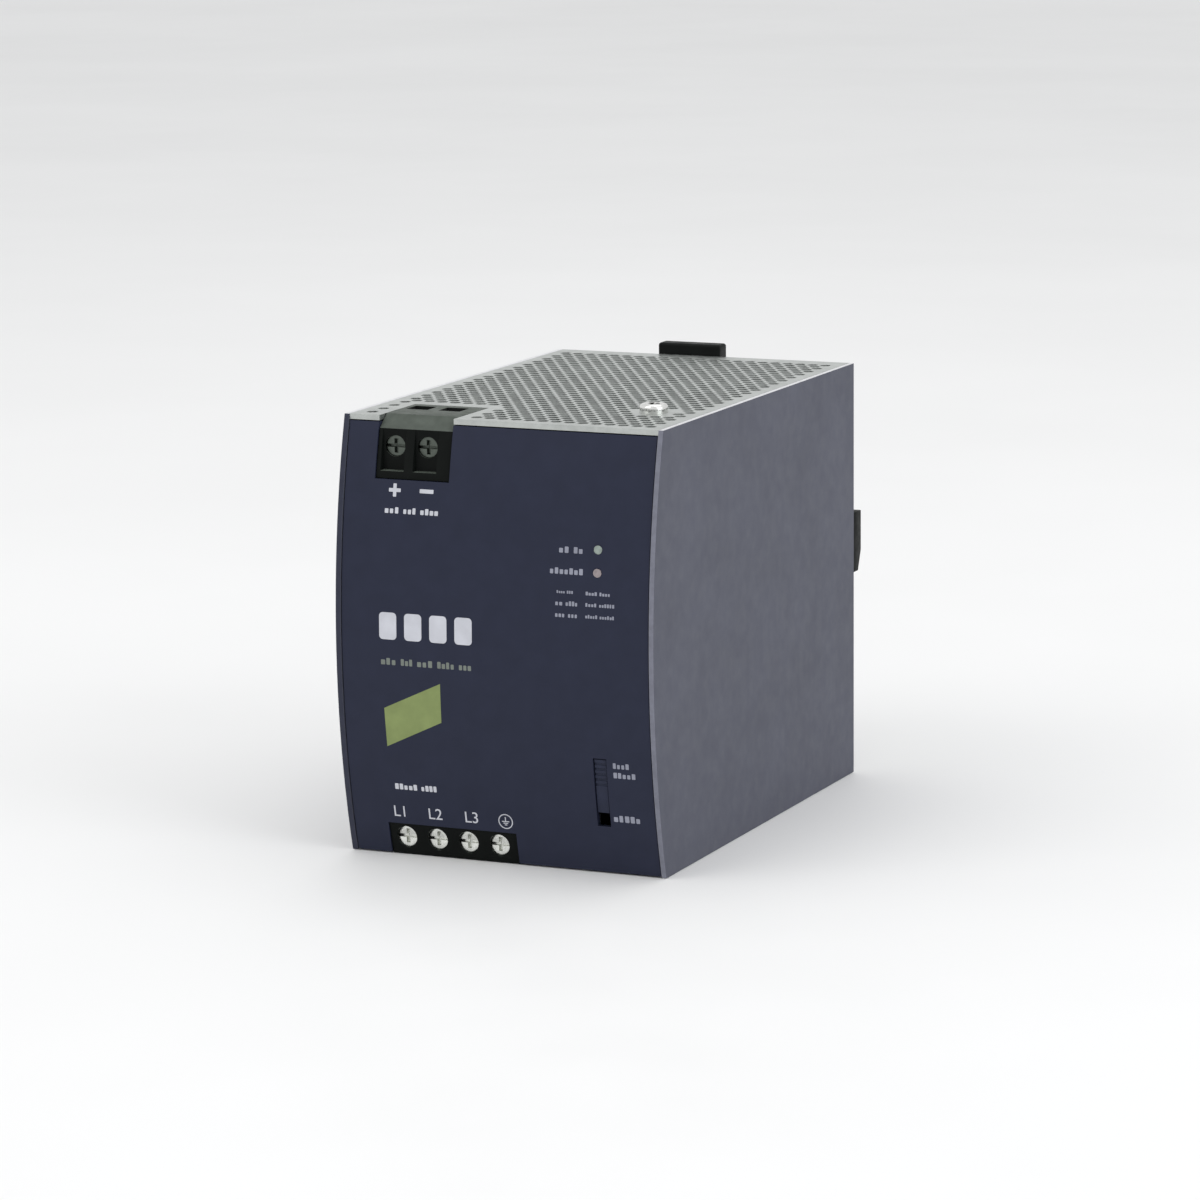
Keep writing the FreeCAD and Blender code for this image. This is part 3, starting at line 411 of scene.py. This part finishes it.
def make_materials():
    return {
        # The side finish's third colour is bright bare metal for edges that face up, partly a
        # painted highlight.
        "side_finish": painted_sheet("side_finish", (0.074, 0.078, 0.104), (0.17, 0.175, 0.215),
                                     (0.78, 0.78, 0.80), (0.46, 0.58), "X"),
        "front_finish": moulded("front_finish", (0.0190, 0.0225, 0.0430), (0.40, 0.50), 3600.0,
                                0.000010, 0.06, 0.16),
        "zinc_sheet": sheet_metal("zinc_sheet", (0.47, 0.49, 0.475)),
        # The bright steel is painted dark inside the cover screw's driver recess: painted shade.
        "bright_steel": plated("bright_steel", (0.78, 0.78, 0.76), recess=cover_screw_recess()),
        # The terminal screws' second colour is painted shade on the output screws.
        "terminal_screw_steel": terminal_steel("terminal_screw_steel", (0.74, 0.75, 0.71),
                                               (0.11, 0.125, 0.11)),
        "clamp_steel": sheet_metal("clamp_steel", (0.6, 0.59, 0.55), (0.25, 0.4)),
        "spring_steel": plated("spring_steel", (0.5, 0.5, 0.5), (0.25, 0.4)),
        "black_plastic": moulded("black_plastic", (0.005, 0.0058, 0.0058), gloss=0.09),
        # The terminal plastic's second colour is a painted highlight on its faces that look up.
        "terminal_plastic": lit_top_plastic("terminal_plastic", (0.0045, 0.0055, 0.005),
                                     (0.085, 0.098, 0.085)),
        "knob_plastic": moulded("knob_plastic", (0.022, 0.026, 0.048), gloss=0.16),
        "tinned_copper": plated("tinned_copper", (0.66, 0.64, 0.58), (0.25, 0.42)),
        "brass_standoff": plated("brass_standoff", (0.66, 0.48, 0.2), (0.2, 0.35)),
        "ok_lens": lens("ok_lens", (0.34, 0.41, 0.37)),
        "overload_lens": lens("overload_lens", (0.38, 0.32, 0.33)),
        "led_resin": lens("led_resin", (0.8, 0.8, 0.7)),
        "circuit_board": circuit("circuit_board"),
        "header_plastic": moulded("header_plastic", (0.5, 0.47, 0.4)),
        "insulation_film": moulded("insulation_film", (0.6, 0.6, 0.55), (0.25, 0.4)),
        "fuse_ceramic": moulded("fuse_ceramic", (0.72, 0.69, 0.62), (0.25, 0.4), 3000.0,
                                0.00001, 0.08),
        "varistor_coat": moulded("varistor_coat", (0.03, 0.08, 0.32), (0.2, 0.35), 1500.0, 0.00003),
        "relay_case": moulded("relay_case", (0.02, 0.02, 0.022), (0.2, 0.32)),
        "ferrite": moulded("ferrite", (0.04, 0.04, 0.042), (0.5, 0.7), 1800.0, 0.00003, 0.25),
        "iron_powder": moulded("iron_powder", (0.4, 0.33, 0.05), (0.3, 0.45), 1500.0, 0.00003),
        "enamelled_copper": coil("enamelled_copper", (0.55, 0.2, 0.07)),
        "capacitor_box": moulded("capacitor_box", (0.5, 0.34, 0.05), (0.25, 0.4)),
        "capacitor_sleeve": moulded("capacitor_sleeve", (0.016, 0.02, 0.04), (0.15, 0.3), 900.0,
                                    0.00001),
        "epoxy_case": moulded("epoxy_case", (0.02, 0.02, 0.02), (0.35, 0.5)),
        "bobbin_plastic": moulded("bobbin_plastic", (0.025, 0.025, 0.025)),
        "winding_tape": wound("winding_tape", (0.62, 0.46, 0.05), 0.0022),
        "heatsink_aluminium": sheet_metal("heatsink_aluminium", (0.68, 0.68, 0.69), (0.25, 0.4),
                                          0.08, 300.0),
        "print_white": ink("print_white", (0.54, 0.55, 0.60), 0.08),
        "print_dim": ink("print_dim", (0.26, 0.27, 0.33), 0.10),
        "print_grey": ink("print_grey", (0.17, 0.19, 0.17), 0.10),
        "print_green": ink("print_green", (0.21, 0.26, 0.10), 0.12),
    }


# --- modifiers for the CAD nodes --------------------------------------------------------
def smooth_by_angle():
    """A node group that shades faces smooth, and keeps edges over 30 degrees sharp."""
    group = bpy.data.node_groups.new("smooth_by_angle", "GeometryNodeTree")
    group.interface.new_socket("Geometry", in_out="INPUT", socket_type="NodeSocketGeometry")
    group.interface.new_socket("Geometry", in_out="OUTPUT", socket_type="NodeSocketGeometry")
    start, end = group.nodes.new("NodeGroupInput"), group.nodes.new("NodeGroupOutput")
    faces = group.nodes.new("GeometryNodeSetShadeSmooth")
    edges = group.nodes.new("GeometryNodeSetShadeSmooth")
    edges.domain = "EDGE"
    edges.inputs["Shade Smooth"].default_value = False
    angle = group.nodes.new("GeometryNodeInputMeshEdgeAngle")
    sharp = group.nodes.new("FunctionNodeCompare")
    sharp.operation = "GREATER_THAN"
    sharp.inputs["B"].default_value = math.radians(30)
    group.links.new(angle.outputs["Unsigned Angle"], sharp.inputs["A"])
    group.links.new(start.outputs[0], faces.inputs["Geometry"])
    group.links.new(faces.outputs["Geometry"], edges.inputs["Geometry"])
    group.links.new(sharp.outputs["Result"], edges.inputs["Selection"])
    group.links.new(edges.outputs["Geometry"], end.inputs[0])
    return group


BEVELS = {"side_panel_left": 0.18, "side_panel_right": 0.18, "front_panel": 0.25, "rear_wall": 0.2,
          "rail_bracket": 0.4, "release_slider": 0.35, "slider_guide": 0.3,
          "output_terminal_housing": 0.25, "input_terminal_housing": 0.2, "selector_knob": 0.15,
          "output_contact_bars": 0.15, "input_contact_bars": 0.15, "output_busbars": 0.2,
          "transformer_core": 0.4, "transformer_bobbin": 0.2}


def dress_nodes(materials):
    slot_of = {s["node"]: s["material_slot"] for s in frame["record"]["subparts"]}
    smooth = smooth_by_angle()
    for name, node in frame["nodes"].items():
        node.data.materials.clear()
        node.data.materials.append(materials[slot_of[name]])
        weld = node.modifiers.new("weld", "WELD")
        weld.merge_threshold = 2e-6
        width = BEVELS.get(name, 0.12 if "screw" in name or "clamp" in name else 0.0)
        if width:
            flat = node.modifiers.new("flat", "DECIMATE")
            flat.decimate_type = "DISSOLVE"
            flat.angle_limit = math.radians(0.4)
            bevel = node.modifiers.new("bevel", "BEVEL")
            bevel.width = width * MM
            bevel.segments = 2
            bevel.limit_method = "ANGLE"
            bevel.angle_limit = math.radians(38)
        shade = node.modifiers.new("smooth", "NODES")
        shade.node_group = smooth
        if "panel" in name:
            normals = node.modifiers.new("normals", "WEIGHTED_NORMAL")
            normals.keep_sharp = True


# --- new pieces -------------------------------------------------------------------------
def add_piece(name, mesh, material, body):
    piece = bpy.data.objects.new(name, mesh)
    bpy.context.scene.collection.objects.link(piece)
    mesh.materials.clear()
    mesh.materials.append(material)
    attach(piece, body)
    return piece


def wrap_on_front(flat, lift, thick):
    """Bend a flat mesh, drawn in X and Z, on to the bowed panel, as a thin film."""
    work = bmesh.new()
    work.from_mesh(flat)
    low = min(v.co.y for v in work.verts)
    high = max(v.co.y for v in work.verts)
    step = 1.5 * MM
    cut = low + step
    while cut < high:
        bmesh.ops.bisect_plane(work, geom=work.verts[:] + work.edges[:] + work.faces[:],
                               plane_co=(0, cut, 0), plane_no=(0, 1, 0))
        cut += step
    for vertex in work.verts:
        x, z = vertex.co.x, vertex.co.y
        vertex.co = Vector((x, panel_y(z, lift), z))
    result = bmesh.ops.extrude_face_region(work, geom=work.faces[:])
    for vertex in [g for g in result["geom"] if isinstance(g, bmesh.types.BMVert)]:
        vertex.co.y = panel_y(vertex.co.z, lift + thick)
    bmesh.ops.recalc_face_normals(work, faces=work.faces[:])
    mesh = bpy.data.meshes.new(flat.name)
    work.to_mesh(mesh)
    work.free()
    return mesh


def rounded_outline(x0, x1, z0, z1, radius):
    """Points of a rectangle with round corners; millimetres in, metres out."""
    x0, x1, z0, z1, radius = (value * MM for value in (x0, x1, z0, z1, radius))
    points = []
    corners = ((x1 - radius, z1 - radius, 0), (x0 + radius, z1 - radius, 90),
               (x0 + radius, z0 + radius, 180), (x1 - radius, z0 + radius, 270))
    for cx, cz, start in corners:
        for k in range(5):
            angle = math.radians(start + k * 22.5)
            points.append((cx + radius * math.cos(angle), cz + radius * math.sin(angle)))
    return points


def flat_shapes(name, outlines):
    """A filled flat mesh from closed outlines; an outline inside another is a hole."""
    curve = bpy.data.curves.new(name, "CURVE")
    curve.dimensions = "2D"
    curve.fill_mode = "FRONT"
    for outline in outlines:
        line = curve.splines.new("POLY")
        line.points.add(len(outline) - 1)
        for point, (x, z) in zip(line.points, outline):
            point.co = (x, z, 0, 1)
        line.use_cyclic_u = True
    return curve_to_mesh(curve)


def flat_text(name, text, x, z, size):
    """A filled flat mesh of generic lettering, centred on the point."""
    curve = bpy.data.curves.new(name, "FONT")
    curve.body = text
    curve.size = size
    curve.align_x, curve.align_y = "CENTER", "CENTER"
    mesh = curve_to_mesh(curve)
    mesh.transform(Matrix.Translation((x, z, 0)))
    return mesh


def curve_to_mesh(curve):
    holder = bpy.data.objects.new(curve.name, curve)
    bpy.context.scene.collection.objects.link(holder)
    bpy.context.view_layer.update()
    graph = bpy.context.evaluated_depsgraph_get()
    mesh = bpy.data.meshes.new_from_object(holder.evaluated_get(graph))
    mesh.name = curve.name
    bpy.data.objects.remove(holder)
    return mesh


def mark(name, flat, material, extra=0.0):
    """One printed mark, as a thin film on the front; extra lifts it over another."""
    mesh = wrap_on_front(flat, 0.005 * MM, 0.05 * MM + extra)
    return add_piece(name, mesh, material, "housing")


# Printed marks: X from the unit's left side and Z from its base, in millimetres.
def word_bars(x0, x1, z, tall, words):
    """Words of small upright blocks, which stand for a line of print but spell nothing."""
    weights = [random.uniform(0.7, 1.3) for _ in range(words)]
    gap = tall * 0.6
    share = (x1 - x0 - gap * (words - 1)) / sum(weights)
    outlines, x = [], x0
    for weight in weights:
        wide = weight * share
        count = max(1, round(wide / (tall * 0.8)))
        pitch = wide / count
        for k in range(count):
            low, high = z - tall / 2, z + tall / 2 - (random.random() < 0.5) * tall * 0.26
            left, right = x + pitch * (k + 0.1), x + pitch * (k + random.uniform(0.74, 0.88))
            outlines.append(rounded_outline(left, right, low, high, tall * 0.12))
        x += wide + gap
    return outlines


def plain_blocks(x0, x1, z0, z1, count, gap):
    """A row of equal rounded blocks."""
    wide = (x1 - x0 - gap * (count - 1)) / count
    starts = [x0 + k * (wide + gap) for k in range(count)]
    return [rounded_outline(start, start + wide, z0, z1, 1.1) for start in starts]


def shifted(outlines):
    """Outlines measured from the unit's left side, moved to the frame's X."""
    return [[(x - HALF_WIDTH, z) for x, z in outline] for outline in outlines]


def print_front(materials):
    white, dim = materials["print_white"], materials["print_dim"]
    grey, green = materials["print_grey"], materials["print_green"]
    lines = {
        "mark_rating": word_bars(14.2, 30.8, 98.5, 1.7, 3),
        "mark_ok": word_bars(67.3, 74.7, 90.8, 1.7, 2),
        "mark_overload": word_bars(64.8, 74.9, 85.0, 1.7, 1),
        "mark_legend_a": word_bars(67.0, 72.0, 79.3, 0.8, 2) + word_bars(75.6, 83.0, 79.3, 1.0, 2),
        "mark_legend_b": word_bars(66.6, 73.4, 76.2, 1.3, 2) + word_bars(75.6, 84.3, 76.2, 1.0, 2),
        "mark_legend_c": word_bars(66.6, 73.4, 73.0, 1.3, 2) + word_bars(75.6, 84.3, 73.0, 1.0, 2),
        "mark_mains": word_bars(15.5, 28.6, 20.3, 1.7, 2),
        "mark_single": word_bars(82.6, 87.6, 31.7, 1.6, 1) + word_bars(82.6, 89.4, 29.0, 1.6, 1),
        "mark_parallel": word_bars(81.7, 90.0, 16.4, 1.9, 1),
        "mark_name_bar": plain_blocks(13.3, 41.6, 62.6, 70.2, 4, 2.4),
    }
    for name, outlines in lines.items():
        faint = name not in ("mark_name_bar", "mark_rating", "mark_mains")
        mark(name, flat_shapes(name, shifted(outlines)), dim if faint else white)
    subtitle = word_bars(13.5, 41.4, 56.4, 1.9, 5)
    mark("mark_subtitle", flat_shapes("mark_subtitle", shifted(subtitle)), grey)
    corners = ((14.1, 43.0), (14.3, 31.9), (31.5, 40.0), (31.6, 51.1))
    banner = [[(x * MM, z * MM) for x, z in corners]]
    mark("mark_banner", flat_shapes("mark_banner", shifted(banner)), green)
    signs = {"mark_plus": [bar(17.1, 104.0, 3.6, 1.0), bar(17.1, 104.0, 1.0, 3.6)],
             "mark_minus": [bar(26.8, 104.1, 4.2, 1.1)]}
    for name, bars in signs.items():
        for k, outline in enumerate(bars):
            part = name if k == 0 else name + "_upright"
            mark(part, flat_shapes(part, shifted([outline])), white, 0.01 * MM * k)
    for name, x in (("l1", 16.5), ("l2", 27.2), ("l3", 38.4)):
        flat = flat_text("mark_" + name, name.upper(), x * MM - HALF_WIDTH, 12.7 * MM, 4.6 * MM)
        mark("mark_" + name, flat, white)
    mark("mark_earth", flat_shapes("mark_earth", shifted(earth_symbol(48.8, 12.6, 2.2))), white)


def bar(x, z, wide, tall):
    """A plain bar round a point."""
    return rounded_outline(x - wide / 2, x + wide / 2, z - tall / 2, z + tall / 2, 0.15)


def earth_symbol(x, z, radius):
    """Ring round a stem with three shrinking bars."""
    ring = [[((x + r * math.cos(a)) * MM, (z + r * math.sin(a)) * MM)
             for a in (math.radians(10 * k) for k in range(36))] for r in (radius, radius - 0.28)]
    stem = [(x - 0.14, z), (x + 0.14, z), (x + 0.14, z + 1.3), (x - 0.14, z + 1.3)]
    strokes = [stem]
    for k, half in enumerate((1.1, 0.7, 0.35)):
        low, high = z - 0.5 * k - 0.14, z - 0.5 * k + 0.12
        strokes.append([(x - half, low), (x + half, low), (x + half, high), (x - half, high)])
    return ring + [[(a * MM, b * MM) for a, b in stroke] for stroke in strokes]


def release_spring(materials):
    """The coil spring, as a round wire helix that stands in for the part's own."""
    low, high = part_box("release_spring")
    centre = (low + high) / 2
    wire = 0.35 * MM
    radius = (high.x - low.x) / 2 - wire
    turns, sides, steps = 7, 8, 28
    closed = 0.8                            # turns that lie flat at each end
    upward = Vector((0, 0, 1))
    rise = high.z - low.z - 2 * wire
    work = bmesh.new()
    rings = []
    for i in range(turns * steps + 1):
        share = i / (turns * steps)
        eased = min(max((share * turns - closed) / (turns - 2 * closed), 0.0), 1.0)
        angle = 2 * math.pi * turns * share
        out = Vector((math.cos(angle), math.sin(angle), 0))
        middle = Vector((centre.x, centre.y, low.z + wire + rise * eased)) + out * radius
        round_wire = [2 * math.pi * k / sides for k in range(sides)]
        rings.append([work.verts.new(middle + (out * math.cos(b) + upward * math.sin(b)) * wire)
                      for b in round_wire])
    for first, second in zip(rings, rings[1:]):
        for k in range(sides):
            work.faces.new((first[k], first[(k + 1) % sides], second[(k + 1) % sides], second[k]))
    work.faces.new(rings[0][::-1])
    work.faces.new(rings[-1])
    bmesh.ops.recalc_face_normals(work, faces=work.faces[:])
    mesh = bpy.data.meshes.new("spring_coil")
    work.to_mesh(mesh)
    work.free()
    mesh.shade_smooth()
    spring = add_piece("spring_coil", mesh, materials["spring_steel"], "housing")
    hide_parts("release_spring")
    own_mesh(spring)


# --- stage ------------------------------------------------------------------------------
def add_area(name, place, target, size, power, colour):
    light = bpy.data.lights.new(name, "AREA")
    light.shape = "RECTANGLE"
    light.size, light.size_y = size
    light.energy = power
    light.color = colour
    lamp = bpy.data.objects.new(name, light)
    bpy.context.scene.collection.objects.link(lamp)
    lamp.location = place
    lamp.rotation_mode = "QUATERNION"
    lamp.rotation_quaternion = (Vector(target) - Vector(place)).to_track_quat("-Z", "Y")


def add_stage():
    mesh = bpy.data.meshes.new("floor")
    reach, drop = 6.0, -0.0002              # metres: half its side, and just below the base
    corners = ((-reach, -reach), (reach, -reach), (reach, reach), (-reach, reach))
    mesh.from_pydata([(x, y, drop) for x, y in corners], [], [(0, 1, 2, 3)])
    floor = bpy.data.objects.new("floor", mesh)
    bpy.context.scene.collection.objects.link(floor)
    n = Nodes("floor")
    n.set(Base_Color=n.ramp(n.noise(3.0), ((0.3, (0.83, 0.83, 0.83)), (0.7, (0.86, 0.86, 0.86)))),
          Roughness=n.spread(n.noise(20.0), 0.6, 0.75))
    mesh.materials.append(n.material)
    world = bpy.data.worlds.new("studio")
    world.use_nodes = True
    background = world.node_tree.nodes["Background"]
    background.inputs["Color"].default_value = (0.93, 0.935, 0.94, 1)
    background.inputs["Strength"].default_value = 0.90
    bpy.context.scene.world = world
    middle = (0, 0, HEIGHT / 2)
    add_area("key", (-0.9, -1.3, 1.5), middle, (1.2, 1.2), 7.5, (1.0, 0.99, 0.97))
    add_area("side", (1.6, -0.5, 0.7), middle, (1.0, 1.4), 8.5, (0.96, 0.98, 1.0))
    add_area("top", (0.1, 0.3, 1.8), middle, (1.4, 1.4), 6.0, (1.0, 1.0, 1.0))
    bpy.context.scene.view_settings.view_transform = "Standard"


add_camera()
add_stage()
MATERIALS = make_materials()
dress_nodes(MATERIALS)
print_front(MATERIALS)
release_spring(MATERIALS)
